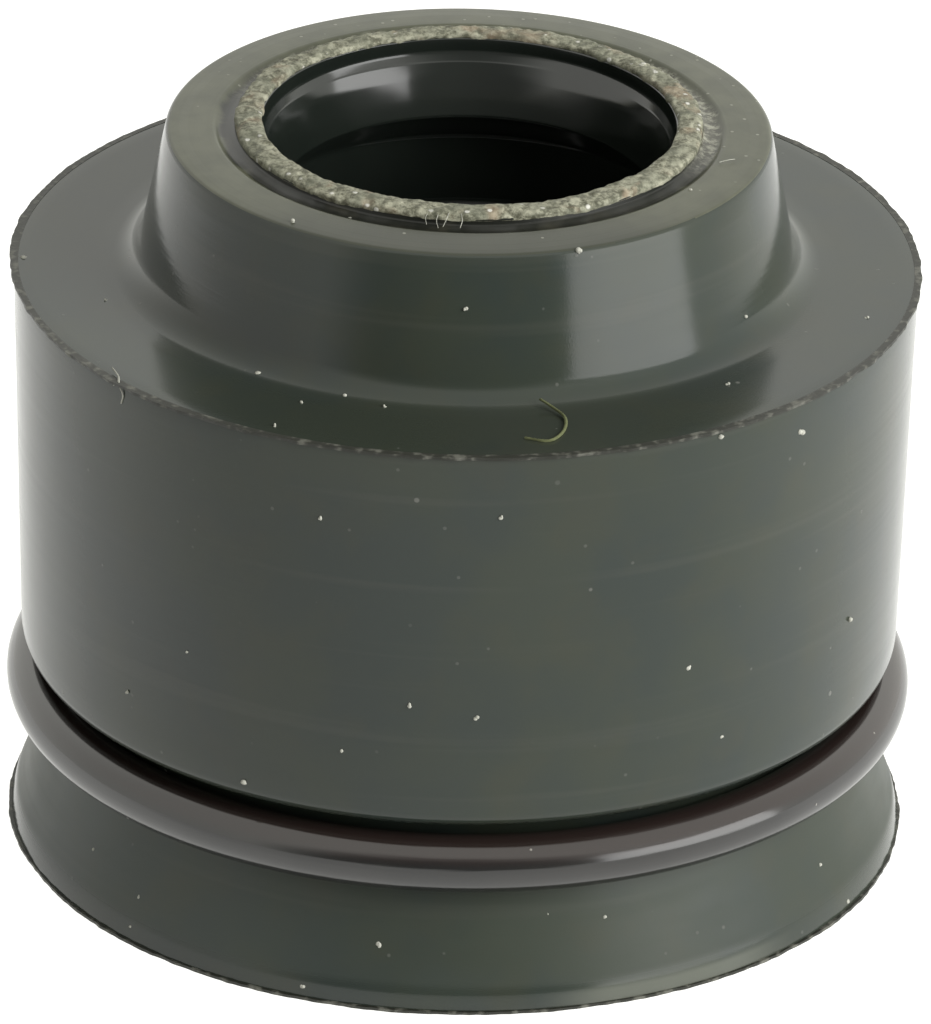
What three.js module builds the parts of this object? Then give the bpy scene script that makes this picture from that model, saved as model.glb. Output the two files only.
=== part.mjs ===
// Valve stem seal: a moulded rubber cap that sits on the end of an engine's valve guide. The valve stem
// slides through the two lips at its top, and a round wire ring clamps its foot onto the guide.
// Millimetres, +Z up, with the origin at the centre of the bottom face, on the axis of the stem.

import * as THREE from "three";

// What the seal fits.
const STEM_DIAMETER = 5;
const GUIDE_DIAMETER = 8.9;

// Heights and depths, measured along the axis.
const SHOULDER_HEIGHT = 8;
const NECK_HEIGHT = 1.92;
const CROWN_THICKNESS = 1.4;

// Foot and barrel, around the guide.
const BARREL_WALL = 1.48;
const BARREL_DRAFT = 1.3;
const BARREL_FOOT_ROUND = 0.25;
const SKIRT_WALL = 1.48;
const GRIP_WALL = 0.77;
const GROOVE_HEADROOM = 0.19;
const GROOVE_CORNER_ROUND = 0.1;
const SEAT_REACH = 55;

// Thin fins of rubber that the mould's parting lines leave on both rims.
const FLASH_WIDTH = 0.07;
const FLASH_THICKNESS = 0.05;

// Neck and the flat top around the stem's mouth.
const NECK_DRAFT = 11.5;
const NECK_FILLET = 0.375;
const TOP_EDGE_ROUND = 0.06;
const TOP_FACE_WIDTH = 0.62;
const BEAD_WIDTH = 0.364;
const BEAD_HEIGHT = 0.16;
const BEAD_ROUND = 0.1;
const BEAD_GROOVE_WIDTH = 0.28;
const BEAD_GROOVE_DEPTH = 0.07;

// Stem bore: a short straight mouth, a cone, a steeper funnel down to the oil lip, a relief, and a
// second lip.
const MOUTH_CLEARANCE = 0.186;
const MOUTH_DEPTH = 0.2;
const MOUTH_CONE_WIDTH = 0.126;
const MOUTH_CONE_ANGLE = 30;
const FUNNEL_ANGLE = 17.5;
const OIL_LIP_INTERFERENCE = 0.1;
const GUIDE_LIP_RISE = 0.55;
const GUIDE_LIP_INTERFERENCE = 0.05;
const LIP_ROUND = 0.08;
const LIP_FLANK = 45;
const RELIEF_CLEARANCE = 0.35;

// Guide bore: a ledge for the guide's end, a grip rib behind the ring, and a lead-in at the foot.
const GUIDE_STOP_ROUND = 0.15;
const GRIP_RIB_RISE = 0.2;
const GRIP_RIB_HEIGHT = 1.2;
const LEAD_IN_WIDTH = 0.5;
const LEAD_IN_HEIGHT = 0.6;

// Clamp ring: spring wire bent round, with a narrow gap between its square-cut ends.
const WIRE_DIAMETER = 0.76;
const RING_HEIGHT = 2.04;
const RING_END_GAP = 0.35;
const SEAT_CLEARANCE = 0.02;

// Facets of the round forms.
const TURN_SEGMENTS = 72;
const ARC_STEP = 22.5;
const WIRE_SIDES = 12;

// Radii and heights that follow from the sizes above.
const stemRadius = STEM_DIAMETER / 2;
const boreRadius = GUIDE_DIAMETER / 2;
const wireRadius = WIRE_DIAMETER / 2;
const topHeight = SHOULDER_HEIGHT + NECK_HEIGHT;
const guideStopHeight = SHOULDER_HEIGHT - CROWN_THICKNESS;
const seatRadius = wireRadius + SEAT_CLEARANCE;
const ringRadius = boreRadius + GRIP_WALL + seatRadius;
const reliefRadius = stemRadius + RELIEF_CLEARANCE;
const mouthRadius = stemRadius + MOUTH_CLEARANCE;
const beadRadius = mouthRadius + BEAD_WIDTH;
const topFaceRadius = beadRadius + BEAD_GROOVE_WIDTH;

const slope = (degrees) => Math.tan(THREE.MathUtils.degToRad(degrees));

// Profiles are drawn in the half-plane of radius and height. A corner may be rounded.
function corner(radius, height, round = 0) {
  return { at: new THREE.Vector2(radius, height), round };
}

// Corners along a circular arc from one angle to another, both ends included.
function arcCorners(centre, radius, fromDegrees, toDegrees) {
  const steps = Math.max(2, Math.ceil(Math.abs(toDegrees - fromDegrees) / ARC_STEP));
  return Array.from({ length: steps + 1 }, (_, i) => {
    const angle = THREE.MathUtils.degToRad(THREE.MathUtils.lerp(fromDegrees, toDegrees, i / steps));
    return corner(centre.x + radius * Math.cos(angle), centre.y + radius * Math.sin(angle));
  });
}

// Replaces one rounded corner by the arc that is tangent to both of its sides.
function filletPoints(before, { at, round }, after) {
  const toBefore = before.clone().sub(at);
  const toAfter = after.clone().sub(at);
  const half = Math.abs(toBefore.angleTo(toAfter)) / 2;
  const room = 0.5 * Math.min(toBefore.length(), toAfter.length());
  const reach = Math.min(round / Math.tan(half), room);
  const radius = reach * Math.tan(half);
  const start = at.clone().addScaledVector(toBefore.normalize(), reach);
  const end = at.clone().addScaledVector(toAfter.normalize(), reach);
  const inward = start.clone().add(end).multiplyScalar(0.5).sub(at).normalize();
  const centre = at.clone().addScaledVector(inward, radius / Math.sin(half));
  const from = start.clone().sub(centre).angle();
  const turn = Math.atan2(
    start.clone().sub(centre).cross(end.clone().sub(centre)),
    start.clone().sub(centre).dot(end.clone().sub(centre)),
  );
  const steps = Math.max(2, Math.ceil(THREE.MathUtils.radToDeg(Math.abs(turn)) / ARC_STEP));
  return Array.from({ length: steps + 1 }, (_, i) => {
    const angle = from + (turn * i) / steps;
    return new THREE.Vector2(Math.cos(angle), Math.sin(angle)).multiplyScalar(radius).add(centre);
  });
}

// Turns a closed run of corners about the Z axis.
function turned(corners) {
  const count = corners.length;
  const points = corners.flatMap((item, i) =>
    item.round > 0
      ? filletPoints(corners[(i + count - 1) % count].at, item, corners[(i + 1) % count].at)
      : [item.at],
  );
  points.push(points[0].clone());
  return new THREE.LatheGeometry(points, TURN_SEGMENTS).rotateX(Math.PI / 2);
}

// Foot: flat bottom, flash on the rim, and the skirt, a cone that runs up tangent to the ring's seat.
function skirtCorners() {
  const rimRadius = boreRadius + SKIRT_WALL;
  const foot = new THREE.Vector2(rimRadius, FLASH_THICKNESS);
  const seat = new THREE.Vector2(ringRadius, RING_HEIGHT);
  const toFoot = foot.clone().sub(seat);
  const tangent = toFoot.angle() - Math.acos(seatRadius / toFoot.length());
  const seatStart = THREE.MathUtils.radToDeg(tangent);
  return [
    corner(boreRadius + LEAD_IN_WIDTH, 0),
    corner(rimRadius + FLASH_WIDTH, 0),
    corner(rimRadius + FLASH_WIDTH, FLASH_THICKNESS),
    corner(foot.x, foot.y),
    ...arcCorners(seat, seatRadius, seatStart, seatStart - SEAT_REACH),
  ];
}

// Barrel: the groove's upper corner, the rounded foot above the ring, the drafted wall, and the flat
// shoulder with its flash.
function barrelCorners() {
  const underside = RING_HEIGHT + wireRadius + GROOVE_HEADROOM;
  const rimRadius = boreRadius + BARREL_WALL;
  const footRadius = rimRadius - (SHOULDER_HEIGHT - underside) * slope(BARREL_DRAFT);
  const flashRadius = rimRadius + FLASH_WIDTH;
  const flashHeight = SHOULDER_HEIGHT - FLASH_THICKNESS;
  return [
    corner(boreRadius + GRIP_WALL + seatRadius / 2, underside, GROOVE_CORNER_ROUND),
    corner(footRadius, underside, BARREL_FOOT_ROUND),
    corner(rimRadius, flashHeight),
    corner(flashRadius, flashHeight),
    corner(flashRadius, SHOULDER_HEIGHT),
  ];
}

// Neck: a filleted cone, the flat top, a hollow, and the raised bead around the stem's mouth.
function neckCorners() {
  const neckRadius = topFaceRadius + TOP_FACE_WIDTH;
  const sag = BEAD_GROOVE_DEPTH;
  const arcRadius = (BEAD_GROOVE_WIDTH ** 2 / 4 + sag ** 2) / (2 * sag);
  const hollow = new THREE.Vector2(beadRadius + BEAD_GROOVE_WIDTH / 2, topHeight + arcRadius - sag);
  const spread = THREE.MathUtils.radToDeg(Math.asin(BEAD_GROOVE_WIDTH / 2 / arcRadius));
  return [
    corner(neckRadius + NECK_HEIGHT * slope(NECK_DRAFT), SHOULDER_HEIGHT, NECK_FILLET),
    corner(neckRadius, topHeight, TOP_EDGE_ROUND),
    ...arcCorners(hollow, arcRadius, -90 + spread, -90 - spread),
    corner(beadRadius, topHeight + BEAD_HEIGHT, BEAD_ROUND),
    corner(mouthRadius, topHeight + BEAD_HEIGHT, BEAD_ROUND),
  ];
}

// Stem bore, from the mouth down to the ledge that stops the guide. Both lips are a little tighter than
// the stem.
function stemBoreCorners() {
  const oilLipRadius = stemRadius - OIL_LIP_INTERFERENCE;
  const guideLipRadius = stemRadius - GUIDE_LIP_INTERFERENCE;
  const coneTop = topHeight - MOUTH_DEPTH;
  const funnelTop = coneTop - MOUTH_CONE_WIDTH / slope(MOUTH_CONE_ANGLE);
  const funnelRadius = mouthRadius - MOUTH_CONE_WIDTH;
  const oilLipHeight = funnelTop - (funnelRadius - oilLipRadius) / slope(FUNNEL_ANGLE);
  const guideLipHeight = guideStopHeight + GUIDE_LIP_RISE;
  const oilFlank = (reliefRadius - oilLipRadius) * slope(LIP_FLANK);
  const guideFlank = (reliefRadius - guideLipRadius) * slope(LIP_FLANK);
  return [
    corner(mouthRadius, coneTop),
    corner(funnelRadius, funnelTop),
    corner(oilLipRadius, oilLipHeight, LIP_ROUND),
    corner(reliefRadius, oilLipHeight - oilFlank, LIP_ROUND),
    corner(reliefRadius, guideLipHeight + guideFlank, LIP_ROUND),
    corner(guideLipRadius, guideLipHeight, LIP_ROUND),
    corner(reliefRadius, guideLipHeight - guideFlank),
    corner(reliefRadius, guideStopHeight),
  ];
}

// Guide bore: the ledge's corner, the grip rib level with the ring, and the lead-in chamfer.
function guideBoreCorners() {
  const half = GRIP_RIB_HEIGHT / 2;
  const ribRadius = (half ** 2 + GRIP_RIB_RISE ** 2) / (2 * GRIP_RIB_RISE);
  const rib = new THREE.Vector2(boreRadius - GRIP_RIB_RISE + ribRadius, RING_HEIGHT);
  const spread = THREE.MathUtils.radToDeg(Math.asin(half / ribRadius));
  return [
    corner(boreRadius, guideStopHeight, GUIDE_STOP_ROUND),
    ...arcCorners(rib, ribRadius, 180 - spread, 180 + spread),
    corner(boreRadius, LEAD_IN_HEIGHT),
  ];
}

function sealGeometry() {
  return turned([
    ...skirtCorners(),
    ...barrelCorners(),
    ...neckCorners(),
    ...stemBoreCorners(),
    ...guideBoreCorners(),
  ]);
}

// The line of the wire, from one end of the ring round to the other, with the gap on the +Y side.
class RingPath extends THREE.Curve {
  getPoint(t, target = new THREE.Vector3()) {
    const halfGap = RING_END_GAP / 2 / ringRadius;
    const angle = Math.PI / 2 + THREE.MathUtils.lerp(halfGap, 2 * Math.PI - halfGap, t);
    return target.set(ringRadius * Math.cos(angle), ringRadius * Math.sin(angle), 0);
  }
}

function ringGeometry() {
  const section = new THREE.Shape().absarc(0, 0, wireRadius, 0, 2 * Math.PI);
  return new THREE.ExtrudeGeometry(section, {
    extrudePath: new RingPath(),
    steps: TURN_SEGMENTS,
    curveSegments: WIRE_SIDES / 2,
  });
}

const rubber = new THREE.MeshStandardMaterial({ color: 0x464a45, roughness: 0.42, metalness: 0 });
const springSteel = new THREE.MeshStandardMaterial({ color: 0x5a5153, roughness: 0.3, metalness: 0.9 });

const sealBody = new THREE.Mesh(sealGeometry(), rubber);
sealBody.name = "seal_body";

const clampRing = new THREE.Mesh(ringGeometry(), springSteel);
clampRing.name = "clamp_ring";
clampRing.position.z = RING_HEIGHT;

const valveStemSeal = new THREE.Group();
valveStemSeal.add(sealBody, clampRing);

export default valveStemSeal;
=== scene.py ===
# A valve stem seal: a moulded rubber cap with a wire ring that clamps its foot onto the valve guide.
# It stands on its foot, as in the photograph, with the stem's mouth upwards.
import math
import random

import bmesh
import bpy
from mathutils import Matrix, Quaternion, Vector, geometry, noise


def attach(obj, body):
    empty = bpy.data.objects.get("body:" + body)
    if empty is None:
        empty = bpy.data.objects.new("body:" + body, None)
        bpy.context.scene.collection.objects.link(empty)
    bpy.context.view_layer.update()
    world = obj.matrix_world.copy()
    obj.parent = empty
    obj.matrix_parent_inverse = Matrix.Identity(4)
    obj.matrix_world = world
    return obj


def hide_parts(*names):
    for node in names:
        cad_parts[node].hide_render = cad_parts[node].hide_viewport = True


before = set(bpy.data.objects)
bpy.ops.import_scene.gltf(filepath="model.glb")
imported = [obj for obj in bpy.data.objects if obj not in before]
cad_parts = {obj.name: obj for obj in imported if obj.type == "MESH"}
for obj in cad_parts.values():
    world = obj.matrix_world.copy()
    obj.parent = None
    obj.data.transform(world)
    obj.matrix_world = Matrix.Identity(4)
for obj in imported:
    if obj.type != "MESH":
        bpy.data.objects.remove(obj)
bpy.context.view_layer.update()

# The camera: a long lens close to the seal, looking down on it by 26 degrees. The picture is turned by
# a little over a degree, so the seal leans to the right in it.
lens_data = bpy.data.cameras.new("camera")
lens_data.lens = 408.9
lens_data.sensor_width = 36
lens_data.clip_start = 0.01
camera = bpy.data.objects.new("camera", lens_data)
bpy.context.scene.collection.objects.link(camera)
bpy.context.scene.camera = camera
camera.location = (0, -0.13839, 0.07183)
aim = Vector((0.00006, 0, 0.004334))
lean = Quaternion((0, 0, 1), math.radians(1.27))
camera.rotation_mode = "QUATERNION"
camera.rotation_quaternion = (aim - camera.location).to_track_quat("-Z", "Y") @ lean
bpy.context.scene.view_settings.view_transform = "Standard"

# The moulding: one piece of green-grey rubber, turned in form, from the flared foot through the barrel
# and the neck to the stem's bore. The mould gives it a smooth skin with faint turning marks, and the top
# is left duller where the gate was cut off.
MM = 0.001
STRAIGHT_STEP = 0.3
ROUNDING_STEPS = 6
MOULDING_STEPS = 300
MEAN_RADIUS = 5
SWELL = 0.006
RIPPLE = 0.0015


def drawn_section(corners, step, closed=True):
    """A bmesh with the section's outline in the XZ plane, cut into steps no longer than the given one.
    Each corner is (radius, height, reach of its rounding) in millimetres."""
    bm = bmesh.new()
    verts = [bm.verts.new((radius * MM, 0, height * MM)) for radius, height, _ in corners]
    for a, b in zip(verts, verts[1:] + verts[:1] if closed else verts[1:]):
        bm.edges.new((a, b))
    for vert, (_, _, reach) in zip(verts, corners):
        if reach:
            bmesh.ops.bevel(
                bm,
                geom=[vert],
                offset=reach * MM,
                offset_type="OFFSET",
                segments=ROUNDING_STEPS,
                profile=0.5,
                affect="VERTICES",
                material=-1,
            )
    for edge in list(bm.edges):
        cuts = math.ceil(edge.calc_length() / (step * MM)) - 1
        if cuts > 0:
            bmesh.ops.subdivide_edges(bm, edges=[edge], cuts=cuts)
    return bm


def turn_round(bm, steps, angle=2 * math.pi):
    """Turns the drawn section about the seal's axis."""
    bmesh.ops.spin(
        bm,
        geom=bm.verts[:] + bm.edges[:],
        cent=(0, 0, 0),
        axis=(0, 0, 1),
        angle=angle,
        steps=steps,
        use_merge=angle > 6.28,
        use_duplicate=False,
    )
    bmesh.ops.remove_doubles(bm, verts=bm.verts, dist=1e-8)
    bmesh.ops.recalc_face_normals(bm, faces=bm.faces)


def piece_from(bm, name, finishes, crease=35):
    """Makes the finished piece, which rides on the part and shades smooth except at creases."""
    mesh = bpy.data.meshes.new(name)
    bm.to_mesh(mesh)
    bm.free()
    for finish in finishes:
        mesh.materials.append(finish)
    for polygon in mesh.polygons:
        polygon.use_smooth = True
    mesh.set_sharp_from_angle(angle=math.radians(crease))
    piece = bpy.data.objects.new(name, mesh)
    bpy.context.scene.collection.objects.link(piece)
    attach(piece, "root")
    return piece


def fine_noise(place, per_mm, seed):
    """Soft noise from -1 to 1 at a point of the seal, with so many features to the millimetre."""
    return noise.noise(place * (per_mm / MM) + Vector((seed, 2.3 * seed, 5.1 * seed)))


class Value:
    """A value in a material, so that its sums are written as sums."""

    def __init__(self, finish, socket):
        self.finish = finish
        self.socket = socket

    def __add__(self, other):
        return self.finish.maths("ADD", self, other)

    def __mul__(self, other):
        return self.finish.maths("MULTIPLY", self, other)

    def __pow__(self, other):
        return self.finish.maths("POWER", self, other)

    __radd__ = __add__


class Finish:
    """A material on object coordinates, built node by node."""

    def __init__(self, name):
        self.material = bpy.data.materials.new(name)
        self.material.use_nodes = True
        self.tree = self.material.node_tree
        self.surface = self.tree.nodes["Principled BSDF"]
        self.place = self.add("TexCoord", out="Object")

    def add(self, kind, sockets=(), out=0, **settings):
        """Adds a node: its settings first, then each socket's value or link."""
        node = self.tree.nodes.new("ShaderNode" + kind)
        for key, setting in settings.items():
            setattr(node, key, setting)
        self.fill(node, dict(sockets))
        return Value(self, node.outputs[out])

    def fill(self, node, sockets):
        for key, value in sockets.items():
            if isinstance(value, Value):
                self.tree.links.new(value.socket, node.inputs[key])
            else:
                node.inputs[key].default_value = value

    def maths(self, operation, a, b):
        return self.add("Math", {0: a, 1: b}, operation=operation)

    def along(self, axis):
        """The distance in metres from the seal's middle along X, Y or Z, or 0, 1 or 2."""
        return self.add("SeparateXYZ", {0: self.place}, out=axis)

    def from_axis(self):
        """The distance in metres from the seal's axis."""
        across = self.along(0)
        depth = self.along(1)
        return (across * across + depth * depth) ** 0.5

    def grain(self, per_mm, detail=2.0, roughness=0.5, place=None, distortion=0.0):
        """Noise from 0 to 1 with so many features to the millimetre."""
        return self.add(
            "TexNoise",
            {
                "Vector": place or self.place,
                "Scale": per_mm / MM,
                "Detail": detail,
                "Roughness": roughness,
                "Distortion": distortion,
            },
        )

    def between(self, value, low, high, start=0.0, end=1.0):
        """Carries a value from the range low to high over to start to end, with soft ends."""
        return self.add(
            "MapRange",
            {0: value, 1: low, 2: high, 3: start, 4: end},
            interpolation_type="SMOOTHSTEP",
        )

    def blend(self, amount, first, second):
        """A colour that goes from first to second with the amount."""
        return self.add("Mix", {0: amount, 6: first, 7: second}, out=2, data_type="RGBA")

    def stretched(self, along, across):
        """The place on the seal, squeezed level or upright to draw a pattern out."""
        return self.add("Mapping", {"Vector": self.place, "Scale": (across, across, along)})

    def specks(self, per_mm, size, share, seed):
        """Sparse round spots: 1 on a spot and 0 off it."""
        shifted = self.add("Mapping", {"Vector": self.place, "Location": (seed * MM, 0, 0)})
        sockets = {"Vector": shifted, "Scale": per_mm / MM, "Randomness": 1.0}
        distance = self.add("TexVoronoi", sockets, out="Distance", feature="F1")
        cell = self.add("TexVoronoi", sockets, out="Color", feature="F1")
        chance = self.add("SeparateColor", {0: cell}, out=0)
        return self.between(distance, size, size * 0.5) * self.between(chance, 1 - share, 1 - share + 0.02)

    def finished(self, bump, strength, distance=0.01, **sockets):
        """Sets the shader's own values and the bump, and gives the material."""
        raised = self.add(
            "Bump",
            {"Height": bump, "Strength": strength, "Distance": distance * MM},
            out="Normal",
        )
        self.fill(self.surface, {"Normal": raised, **sockets})
        return self.material


def moulded_skin():
    """Satin rubber straight from the mould, cloudy green-grey with a little dust and pin-prick pores. The
    skirt is scuffed, and at the front right the foot's rim has a pale painted highlight."""
    skin = Finish("moulded_rubber")
    cloud = skin.grain(0.5, detail=3.0)
    tint = skin.grain(1.3, detail=2.0)
    dust = skin.specks(2.2, 0.1, 0.14, 1.0) * 0.7 + skin.specks(5.0, 0.16, 0.08, 4.0) * 0.3
    turning = skin.grain(14.0, detail=3.0, place=skin.stretched(1.0, 0.012))
    streaks = skin.grain(4.0, detail=2.0, place=skin.stretched(1.0, 0.03))
    pores = skin.grain(38.0, detail=1.0)
    base = skin.blend(
        skin.between(cloud, 0.35, 0.65),
        (0.032, 0.042, 0.036, 1),
        (0.038, 0.047, 0.034, 1),
    )
    warm = skin.blend(skin.between(tint, 0.45, 0.75) * 0.35, base, (0.046, 0.049, 0.031, 1))
    rubbed = skin.blend(skin.between(streaks, 0.56, 0.72) * 0.2, warm, (0.075, 0.078, 0.064, 1))
    across = skin.along(0)
    height = skin.along(2)
    # Painted highlight: the foot's rim at the front right is painted pale where the softbox is mirrored.
    rim_highlight_place = skin.between(across, 0.001, 0.0022) * skin.between(across, 0.0046, 0.0036)
    rim_highlight_place = rim_highlight_place * skin.between(skin.along(1), -0.001, -0.003)
    painted_rim_highlight = rim_highlight_place * skin.between(height + streaks * 0.0001, 0.00034, 0.00022)
    skin_with_painted_highlight = skin.blend(painted_rim_highlight * 0.55, rubbed, (0.19, 0.20, 0.165, 1))
    dusted = skin.blend(dust * 0.8, skin_with_painted_highlight, (0.22, 0.22, 0.2, 1))
    scuffed = skin.between(height, 0.00195, 0.0017) * skin.between(height, 0.00024, 0.0004)
    smears = skin.grain(1.6, detail=3.0, place=skin.stretched(1.0, 0.35))
    roughness = 0.06 + cloud * 0.05 + streaks * 0.08 + turning * 0.04 + dust * 0.4
    roughness += scuffed * (0.16 + smears * 0.26)
    return skin.finished(
        turning * 0.5 + streaks * 0.9 + pores * 0.25 + dust * 0.8,
        0.35,
        distance=0.006,
        **{"Base Color": dusted, "Roughness": roughness, "IOR": 1.47},
    )


def painted_dark_bore():
    """The bore's rubber, smoother from the oil it was packed in, and painted darker as the shade inside it.
    """
    bore = Finish("oily_rubber")
    film = bore.grain(1.2, detail=2.0)
    # Painted shade: the bore's colour is much darker than the skin's, standing in for the shade inside it.
    base = bore.blend(film, (0.010, 0.013, 0.011, 1), (0.016, 0.020, 0.016, 1))
    return bore.finished(
        film,
        0.15,
        distance=0.01,
        **{"Base Color": base, "Roughness": 0.1 + film * 0.06, "IOR": 1.75},
    )


def cut_top():
    """The top, duller and paler where it was cut and ground level, with rings left by the cutter, and
    painted shade darkening its front. The hollow round the mouth has painted shade in front, and pale grit
    at the back and the right."""
    top = Finish("ground_rubber")
    across = top.along(0)
    depth = top.along(1)
    radius = top.from_axis()
    rings = top.add(
        "TexNoise",
        {"W": radius * (9.0 / MM), "Scale": 1.0, "Detail": 3.0, "Roughness": 0.6},
        noise_dimensions="1D",
    )
    cloud = top.grain(2.2, detail=4.0)
    rear = top.between(depth + across * 0.35, -0.001, 0.0015)
    dust = top.specks(4.0, 0.12, 0.3, 9.0) + top.specks(6.5, 0.2, 0.3, 3.0) * rear
    ground = top.blend(top.between(cloud, 0.3, 0.7), (0.072, 0.077, 0.048, 1), (0.104, 0.109, 0.070, 1))
    # Painted shade: the top is darker towards its front edge.
    ground = top.blend(top.between(depth, -0.0022, -0.0034) * 0.8, ground, (0.034, 0.038, 0.026, 1))
    edge = radius + cloud * 0.00025
    hollow = top.between(edge, 0.00343, 0.00333)
    crumbs = top.grain(9.0, detail=4.0, roughness=0.7)
    grit = top.blend(top.between(crumbs, 0.42, 0.66), (0.07, 0.068, 0.046, 1), (0.42, 0.42, 0.33, 1))
    # Painted shade: the hollow is painted dark at the front, and pale grit lies in it at the back and the
    # right.
    painted_hollow_shade = top.blend(top.between(cloud, 0.5, 0.7), (0.010, 0.011, 0.008, 1), (0.035, 0.034, 0.024, 1))
    back_grit_front_shade = top.between(depth + across * 0.35, -0.0006, 0.0012)
    base = top.blend(hollow, ground, top.blend(back_grit_front_shade, painted_hollow_shade, grit))
    dusted = top.blend(dust * 0.8, base, (0.42, 0.42, 0.36, 1))
    return top.finished(
        rings * 0.6 + cloud * 0.4 + dust + crumbs * hollow * back_grit_front_shade,
        0.4,
        distance=0.008,
        **{"Base Color": dusted, "Roughness": 0.3 + rings * 0.1 + dust * 0.3, "IOR": 1.5},
    )


RIM = 5.93
SHOULDER = 8.0
HOLLOW_FLOOR = 9.865
MOUTH_BROW = 9.99
RELIEF = 2.85
GUIDE_STOP = 6.6
GUIDE_BORE = 4.45
RING_LEVEL = 2.04
SECTION = [
    # The foot and the skirt.
    (4.95, 0.0, 0.02),
    (RIM, 0.0, 0.015),
    (RIM, 0.05, 0),
    (5.88, 0.27, 0.05),
    (5.25, 1.88, 0.1),
    # The ring's groove, the barrel and the shoulder.
    (5.235, 2.2, 0.08),
    (5.42, 2.61, 0.1),
    (5.807, 2.61, 0.22),
    (RIM, SHOULDER, 0.02),
    # The neck, the top and the hollow round the mouth.
    (4.34, SHOULDER, 0.306),
    (3.95, 9.895, 0.06),
    (3.33, 9.925, 0.03),
    (3.25, HOLLOW_FLOOR, 0.04),
    (3.14, HOLLOW_FLOOR, 0.04),
    (3.05, 9.90, 0.02),
    (3.035, MOUTH_BROW, 0.02),
    (2.70, MOUTH_BROW, 0.02),
    # The mouth, its funnel, the oil lip, the relief and the second lip.
    (2.69, 9.80, 0.03),
    (2.636, 9.695, 0.008),
    (2.626, 9.68, 0.008),
    (2.56, 9.52, 0.05),
    (2.40, 8.99, 0.03),
    (RELIEF, 8.54, 0.08),
    (RELIEF, 7.55, 0.08),
    (2.45, 7.15, 0.08),
    (RELIEF, 6.75, 0),
    # The ledge that stops the guide, and the guide's bore with its grip rib.
    (RELIEF, GUIDE_STOP, 0),
    (GUIDE_BORE, GUIDE_STOP, 0.15),
    (GUIDE_BORE, 2.60, 0.1),
    (4.26, RING_LEVEL, 0.2),
    (GUIDE_BORE, 1.48, 0.1),
    (GUIDE_BORE, 0.6, 0.02),
]
moulding = drawn_section(SECTION, STRAIGHT_STEP)
turn_round(moulding, MOULDING_STEPS)
for vert in moulding.verts:
    swell = fine_noise(vert.co, 0.45, 3.0) * SWELL + fine_noise(vert.co, 1.6, 7.0) * RIPPLE
    vert.co.x *= 1 + swell / MEAN_RADIUS
    vert.co.y *= 1 + swell / MEAN_RADIUS
for face in moulding.faces:
    middle = face.calc_center_median() / MM
    radius = middle.xy.length
    if middle.z > HOLLOW_FLOOR - 0.015 and 2.72 < radius < 3.93:
        face.material_index = 1
    elif middle.z > GUIDE_STOP - 0.1 and radius < RELIEF + 0.05:
        face.material_index = 2
seal = piece_from(moulding, "seal_moulding", [moulded_skin(), cut_top(), painted_dark_bore()])
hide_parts("seal_body")

# The bead round the stem's mouth: what is left of the gate after it was torn off. The torn rubber is
# brown-grey and gritty, with a ragged edge over the bore.
BEAD_STEPS = 800
BEAD_FOOT = 9.96
GRIT = 0.02
LUMP = 0.014
SINK = 0.01


def torn_rubber():
    """Torn, gritty rubber: brown-grey crumbs with pale ones among them."""
    torn = Finish("torn_rubber")
    crumbs = torn.grain(8.0, detail=5.0, roughness=0.75)
    clumps = torn.grain(2.6, detail=3.0)
    pale = torn.specks(7.0, 0.3, 0.3, 2.0)
    brown = torn.between(torn.grain(1.5, detail=2.0, distortion=1.0), 0.52, 0.68)
    base = torn.blend(torn.between(crumbs, 0.36, 0.64), (0.095, 0.095, 0.062, 1), (0.50, 0.495, 0.375, 1))
    shaded = torn.blend(torn.between(clumps, 0.4, 0.65) * 0.5, base, (0.20, 0.21, 0.155, 1))
    tinted = torn.blend(brown * 0.45, shaded, (0.44, 0.32, 0.22, 1))
    flecked = torn.blend(pale * 0.85, tinted, (0.85, 0.84, 0.76, 1))
    return torn.finished(
        crumbs + clumps * 0.6 + pale * 0.4,
        0.75,
        distance=0.03,
        **{"Base Color": flecked, "Roughness": 0.5 + crumbs * 0.3, "IOR": 1.45},
    )


BEAD_SECTION = [
    (3.05, BEAD_FOOT, 0.01),
    (3.05, 10.04, 0.04),
    (2.90, 10.085, 0.1),
    (2.71, 10.06, 0.04),
    (2.705, 9.99, 0.02),
    (2.76, BEAD_FOOT, 0),
]
bead = drawn_section(BEAD_SECTION, 0.03)
turn_round(bead, BEAD_STEPS)
for vert in bead.verts:
    radius = vert.co.xy.length / MM
    height = vert.co.z / MM
    if height > BEAD_FOOT + 0.005:
        ragged = fine_noise(vert.co, 5.0, 1.0) * GRIT + fine_noise(vert.co, 12.0, 2.0) * GRIT
        lump = fine_noise(vert.co, 1.1, 5.0) * LUMP - SINK
        vert.co.z += (ragged + lump) * MM
        inner = max(0.0, (2.85 - radius) / 0.16)
        outer = max(0.0, (radius - 2.95) / 0.09)
        tear = fine_noise(vert.co, 2.4, 8.0) * 0.03 * inner + fine_noise(vert.co, 1.3, 9.0) * 0.04 * outer
        vert.co.x *= 1 + (tear + ragged * 0.4) / radius
        vert.co.y *= 1 + (tear + ragged * 0.4) / radius
mouth_bead = piece_from(bead, "mouth_bead", [torn_rubber()], crease=80)

# The flash: thin ragged fins of rubber along both parting lines of the mould, round the shoulder and
# round the foot.
FLASH_STEPS = 900
FLASH_ROOT = 0.06


def flash_rubber():
    """The moulding's rubber, thin and a little scuffed."""
    fin = Finish("flash_rubber")
    scuff = fin.grain(6.0, detail=3.0)
    crumbs = fin.grain(22.0, detail=1.0)
    base = fin.blend(fin.between(scuff, 0.48, 0.68), (0.020, 0.021, 0.015, 1), (0.15, 0.15, 0.125, 1))
    return fin.finished(
        scuff + crumbs * 0.4,
        0.5,
        distance=0.01,
        **{"Base Color": base, "Roughness": 0.38 + scuff * 0.2, "IOR": 1.5},
    )


flash_finish = flash_rubber()


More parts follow.
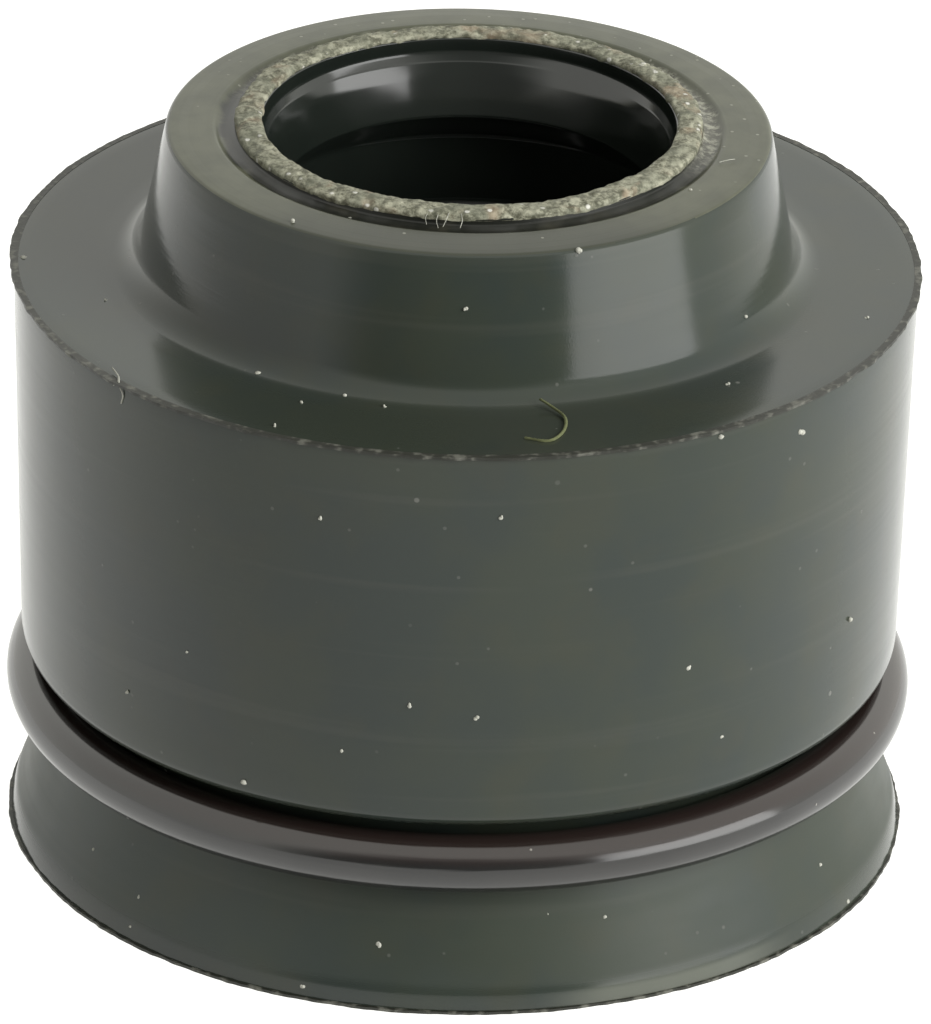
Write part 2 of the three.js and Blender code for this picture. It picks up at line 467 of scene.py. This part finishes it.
def ragged_fin(name, radius, low, high, reach, seed):
    """A thin fin that stands out from the moulding by reach or less, with a ragged edge."""
    inside, outside = radius - FLASH_ROOT, radius + reach
    corners = [(inside, low, 0), (outside, low, 0), (outside, high, 0), (inside, high, 0)]
    fin = drawn_section(corners, 0.03)
    turn_round(fin, FLASH_STEPS)
    for vert in fin.verts:
        out = vert.co.xy.length / MM - radius
        if out > 0:
            ragged = fine_noise(vert.co, 0.35, seed) * 0.45 + fine_noise(vert.co, 2.2, seed + 3) * 0.3
            ragged += fine_noise(vert.co, 7.0, seed + 6) * 0.25
            kept = min(1.0, max(0.15, 0.62 + ragged))
            pull = out * (kept - 1) / radius
            vert.co.x *= 1 + pull
            vert.co.y *= 1 + pull
    piece = piece_from(fin, name, [flash_finish])


ragged_fin("shoulder_flash", RIM, SHOULDER - 0.035, SHOULDER + 0.004, 0.065, 11.0)
ragged_fin("foot_flash", RIM, 0.0, 0.04, 0.06, 23.0)

# The clamp ring: spring wire, round in section, bent into a ring and sprung into the groove above the
# foot. It is dark from its oil bath, with drawing marks along it, and its square ends leave a gap behind.
RING_RADIUS = 5.62
WIRE_RADIUS = 0.38
WIRE_STEPS = 40
RING_STEPS = 360
END_GAP = 0.35
END_EDGE = 0.04


def oiled_steel():
    """Spring wire under a smooth black oxide, brown towards the top, with fine marks along it."""
    steel = Finish("oiled_steel")
    cloud = steel.grain(0.9, detail=3.0)
    drawn = steel.grain(22.0, detail=2.0, place=steel.stretched(1.0, 0.03))
    dust = steel.specks(4.0, 0.09, 0.14, 6.0)
    black = steel.blend(steel.between(cloud, 0.3, 0.7), (0.009, 0.009, 0.009, 1), (0.017, 0.016, 0.015, 1))
    base = steel.blend(steel.between(steel.along(2), 0.00212, 0.0023), black, (0.024, 0.016, 0.014, 1))
    dusted = steel.blend(dust * 0.7, base, (0.4, 0.38, 0.34, 1))
    return steel.finished(
        drawn * 0.5 + dust,
        0.4,
        distance=0.008,
        **{"Base Color": dusted, "Roughness": 0.08 + drawn * 0.12 + dust * 0.4, "IOR": 1.78},
    )


wire = bmesh.new()
bmesh.ops.create_circle(
    wire,
    cap_ends=False,
    radius=WIRE_RADIUS * MM,
    segments=WIRE_STEPS,
    matrix=Matrix.Translation((RING_RADIUS * MM, 0, RING_LEVEL * MM)) @ Matrix.Rotation(math.pi / 2, 4, "X"),
)
gap_angle = END_GAP / RING_RADIUS
turn_round(wire, RING_STEPS, angle=2 * math.pi - gap_angle)
bmesh.ops.rotate(
    wire,
    verts=wire.verts,
    cent=(0, 0, 0),
    matrix=Matrix.Rotation(math.pi / 2 + gap_angle / 2, 3, "Z"),
)
bmesh.ops.holes_fill(wire, edges=[edge for edge in wire.edges if edge.is_boundary], sides=0)
ends = [face for face in wire.faces if len(face.verts) > 4]
bmesh.ops.bevel(
    wire,
    geom=[edge for face in ends for edge in face.edges],
    offset=END_EDGE * MM,
    offset_type="OFFSET",
    segments=2,
    profile=0.5,
    affect="EDGES",
    material=-1,
)
bmesh.ops.recalc_face_normals(wire, faces=wire.faces)
ring = piece_from(wire, "clamp_wire", [oiled_steel()])
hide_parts("clamp_ring")

# Dust: pale grains and lint threads that cling to the oily rubber, a curl of olive lint on the shoulder,
# and a few hairs at the front of the bead.
# Each grain: degrees round to the right of the front, radius, height, and its size in micrometres.
GRAINS = [
    (-17.5, 5.91, 6.96, 55), (5, 5.91, 7.14, 50), (-6, 5.85, 4.40, 55), (2.5, 5.84, 4.26, 55),
    (30.5, 5.85, 4.64, 60), (36, 5.83, 3.48, 45), (60.5, 5.85, 4.30, 55), (-47, 5.83, 3.58, 45),
    (-28, 5.81, 2.90, 60), (-14.5, 5.83, 3.64, 35), (-36.5, 5.85, 4.54, 30), (33.5, 5.93, 7.9, 60),
    (47, 5.92, 7.54, 65), (-56.5, 5.64, 0.82, 60), (-9.5, 5.65, 0.80, 75), (-39, 5.71, 0.64, 45),
    (-45.5, 5.73, 0.60, 40), (-19, 5.89, 0.16, 60), (-45.5, 5.87, 0.22, 50), (13, 5.50, 1.20, 50),
    (21, 5.55, 1.08, 55), (58, 5.67, 0.76, 50), (62, 5.90, 0.12, 65), (-4, 5.69, 0.70, 40),
    (0, 4.09, 9.21, 45), (21, 3.97, 9.87, 65), (58, 4.27, 8.33, 50), (-36, 4.5, 8.02, 60),
    (-19.5, 4.5, 8.02, 55), (-12.5, 4.62, 8.0, 45), (43, 4.96, 8.0, 50), (-88, 5.8, 8.0, 60),
    (-25, 4.90, 8.0, 40), (74, 5.42, 8.0, 50), (-72.5, 4.90, 8.0, 35), (-25, 5.68, 8.0, 50),
    (-36, 3.80, 9.91, 50), (57.5, 3.40, 9.92, 45), (-56, 2.64, 9.62, 50), (-66, 2.60, 9.45, 45),
]
# Each thread: the places it passes, its thickness in micrometres, and 0 for pale lint or 1 for olive.
THREADS = [
    ([(-51, 5.80, 8.06), (-49, 5.86, 8.03), (-47.8, 5.95, 7.98), (-47.2, 5.94, 7.86),
      (-47.6, 5.93, 7.72)], 22, 0),
    ([(-49, 5.86, 8.03), (-48.3, 5.93, 8.0), (-48.9, 5.95, 7.93)], 16, 0),
    ([(12.5, 4.55, 8.12), (14.2, 4.7, 8.06), (15.2, 4.95, 8.03), (14, 5.3, 8.02), (11.5, 5.55, 8.02),
      (8.5, 5.44, 8.02)], 44, 1),
    ([(73, 3.4, 9.94), (74, 3.5, 9.96), (75.5, 3.56, 9.94)], 12, 0),
    ([(80, 5.70, 2.3), (82, 5.82, 2.28), (83.5, 5.86, 2.2)], 16, 0),
    ([(-4.5, 3.02, 10.05), (-5, 3.14, 10.0), (-5.6, 3.2, 9.93)], 10, 0),
    ([(-7, 3.02, 10.05), (-7.2, 3.15, 9.99), (-6.6, 3.22, 9.92)], 9, 0),
    ([(-1.5, 3.02, 10.05), (-1.2, 3.13, 10.0), (-1.6, 3.2, 9.93)], 10, 0),
    ([(-9.5, 3.02, 10.05), (-9.9, 3.12, 10.0), (-9.4, 3.18, 9.94)], 8, 0),
]


def on_seal(turn, radius, height):
    """A point in metres, from degrees round to the right of the front and millimetres."""
    angle = math.radians(turn)
    return Vector((radius * math.sin(angle), -radius * math.cos(angle), height)) * MM


def lint(name, dull, bright):
    """Lint and chalky grains, between a dull colour and a bright one."""
    chalk = Finish(name)
    patch = chalk.grain(10.0, detail=2.0)
    base = chalk.blend(patch, dull, bright)
    return chalk.finished(patch, 0.3, **{"Base Color": base, "Roughness": 0.8, "IOR": 1.4})


THREAD_SIDES = 8
THREAD_STEPS = 6
dust = bmesh.new()
chance = random.Random(7)
for turn, radius, height, microns in GRAINS:
    for crumb in range(3):
        place = on_seal(turn, radius, height)
        spread = microns * 0.3
        place += Vector([chance.uniform(-spread, spread) for _ in range(3)]) * 1e-6
        shape = [microns * chance.uniform(0.3, 0.65) * 1e-6 for _ in range(3)]
        bmesh.ops.create_icosphere(
            dust,
            subdivisions=2,
            radius=1,
            matrix=Matrix.LocRotScale(place, None, Vector(shape)),
        )
for path, microns, colour in THREADS:
    knots = [on_seal(*stop) for stop in path]
    knots = [2 * knots[0] - knots[1]] + knots + [2 * knots[-1] - knots[-2]]
    stops = []
    for before, here, after, beyond in zip(knots, knots[1:], knots[2:], knots[3:]):
        leave, arrive = here + (after - before) / 6, after - (beyond - here) / 6
        stops += geometry.interpolate_bezier(here, leave, arrive, after, THREAD_STEPS + 1)[:-1]
    stops.append(knots[-2])
    rings = []
    for here, after in zip(stops, stops[1:] + [2 * stops[-1] - stops[-2]]):
        turned = (after - here).to_track_quat("Z", "Y").to_matrix().to_4x4()
        end = bmesh.ops.create_circle(
            dust,
            radius=microns / 2 * 1e-6,
            segments=THREAD_SIDES,
            matrix=Matrix.Translation(here) @ turned,
        )
        rings.append(end["verts"])
    for one, other in zip(rings, rings[1:]):
        shift = min(range(THREAD_SIDES), key=lambda step: (other[step].co - one[0].co).length)
        for step in range(THREAD_SIDES):
            beside = (step + 1) % THREAD_SIDES
            low = other[(step + shift) % THREAD_SIDES]
            high = other[(beside + shift) % THREAD_SIDES]
            side = dust.faces.new((one[step], one[beside], high, low))
            side.material_index = colour
bmesh.ops.recalc_face_normals(dust, faces=dust.faces)
pale_lint = lint("pale_lint", (0.38, 0.38, 0.32, 1), (0.7, 0.7, 0.62, 1))
olive_lint = lint("olive_lint", (0.10, 0.11, 0.05, 1), (0.22, 0.24, 0.12, 1))
piece_from(dust, "dust", [pale_lint, olive_lint], crease=80)

# The floor: a pale round sheet with its edge out of view. To the camera it is white, with a quarter of
# its own shading left, and the seal mirrors it brightest at the sides and the back.
FLOOR_RADIUS = 0.05
floor_mesh = bmesh.new()
bmesh.ops.create_circle(floor_mesh, cap_ends=True, radius=FLOOR_RADIUS, segments=96)
floor_data = bpy.data.meshes.new("floor")
floor_mesh.to_mesh(floor_data)
floor_mesh.free()
floor = bpy.data.objects.new("floor", floor_data)
bpy.context.scene.collection.objects.link(floor)
sheet = Finish("pale_sheet")
looked_at = sheet.maths(
    "MAXIMUM",
    sheet.add("LightPath", out="Is Camera Ray"),
    sheet.add("LightPath", out="Is Transmission Ray"),
)
outside_bore = sheet.between(sheet.from_axis(), 0.0045, 0.0052)
mirrored_paper = outside_bore * sheet.add("LightPath", out="Is Glossy Ray")
seen = sheet.maths("MAXIMUM", looked_at, mirrored_paper)
paper = sheet.grain(0.02, detail=2.0)
sheet.fill(
    sheet.surface,
    {
        "Base Color": sheet.blend(paper * 0.1, (0.9, 0.9, 0.9, 1), (0.86, 0.86, 0.86, 1)),
        "Roughness": 0.9,
    },
)
glow = sheet.between(sheet.along(1), -0.014, -0.002, 1.08, 1.5)
white = sheet.add("Emission", {"Color": (1, 1, 0.96, 1), "Strength": glow})
paper_shader = Value(sheet, sheet.surface.outputs[0])
mixed = sheet.add("MixShader", {0: seen * 0.75, 1: paper_shader, 2: white})
sheet.fill(sheet.tree.nodes["Material Output"], {"Surface": mixed})
floor_data.materials.append(sheet.material)

# The light: a white room, dimmer on the camera's side in what the seal mirrors, a softbox that stands
# on the floor to the right, and a lamp above it that lights the dull rubber and isn't mirrored.
world = bpy.data.worlds.new("white_room")
bpy.context.scene.world = world
world.use_nodes = True
room = world.node_tree
background = room.nodes["Background"]
ray = room.nodes.new("ShaderNodeLightPath")
direction = room.nodes.new("ShaderNodeTexCoord")
split = room.nodes.new("ShaderNodeSeparateXYZ")
room.links.new(direction.outputs["Generated"], split.inputs[0])


def room_maths(operation, a, b):
    """A sum of two numbers or outputs in the room's nodes."""
    node = room.nodes.new("ShaderNodeMath")
    node.operation = operation
    for slot_index, value in enumerate((a, b)):
        if isinstance(value, (int, float)):
            node.inputs[slot_index].default_value = value
        else:
            room.links.new(value, node.inputs[slot_index])
    return node.outputs[0]


ahead = room_maths("MULTIPLY", split.outputs["Y"], -1.0)


def room_between(value, low, high, start, end):
    """Carries a value from the range low to high over to start to end, with soft ends."""
    node = room.nodes.new("ShaderNodeMapRange")
    node.interpolation_type = "SMOOTHSTEP"
    room.links.new(value, node.inputs[0])
    for slot_index, setting in enumerate((low, high, start, end), 1):
        node.inputs[slot_index].default_value = setting
    return node.outputs[0]


facing = room_between(ahead, 0.6, 0.9, 0, 1)
upper = room_between(split.outputs["Z"], 0.8, 0.98, 1, 0)
lower = room_between(split.outputs["Z"], -0.3, -0.15, 0, 1)
band = room_maths("MULTIPLY", facing, room_maths("MULTIPLY", upper, lower))
dimmed = room_maths("SUBTRACT", 1.0, room_maths("MULTIPLY", band, 0.82))
mirrored = room_maths("MULTIPLY", ray.outputs["Is Glossy Ray"], dimmed)
plain = room_maths("MAXIMUM", ray.outputs["Is Camera Ray"], ray.outputs["Is Transmission Ray"])
behind = room_between(split.outputs["Y"], 0.1, 0.8, 1.0, 1.22)
direct = room_maths("MAXIMUM", room_maths("MULTIPLY", plain, 1.12), room_maths("MULTIPLY", mirrored, behind))
shaded = room_maths("SUBTRACT", 1.0, room_maths("MAXIMUM", plain, ray.outputs["Is Glossy Ray"]))
lit = room_maths("MULTIPLY", shaded, 0.32)
room.links.new(room_maths("ADD", direct, lit), background.inputs["Strength"])
background.inputs["Color"].default_value = (1, 1, 0.94, 1)


def softbox(name, azimuth, distance, height, width, tall, power):
    """An upright lit panel, so many degrees to the right of the camera, facing the seal."""
    data = bpy.data.lights.new(name, "AREA")
    data.shape = "RECTANGLE"
    data.size = width
    data.size_y = tall
    data.energy = power
    lamp = bpy.data.objects.new(name, data)
    bpy.context.scene.collection.objects.link(lamp)
    turn = math.radians(azimuth)
    lamp.location = (distance * math.sin(turn), -distance * math.cos(turn), height)
    lamp.rotation_euler = (math.pi / 2, 0, turn)
    lamp.visible_camera = False
    return lamp


KEY_TURN = 58
KEY_DISTANCE = 0.25
KEY_HEIGHT = 0.16
SEAL_MIDDLE = 0.005
softbox("right_softbox", 59.5, 0.2, 0.029, 0.174, 0.116, 0.165)
key = softbox("key_light", KEY_TURN, KEY_DISTANCE, KEY_HEIGHT, 0.16, 0.16, 0.74)
turned_down = math.atan2(KEY_HEIGHT - SEAL_MIDDLE, KEY_DISTANCE)
key.rotation_euler = (math.pi / 2 - turned_down, 0, math.radians(KEY_TURN))
key.visible_glossy = False
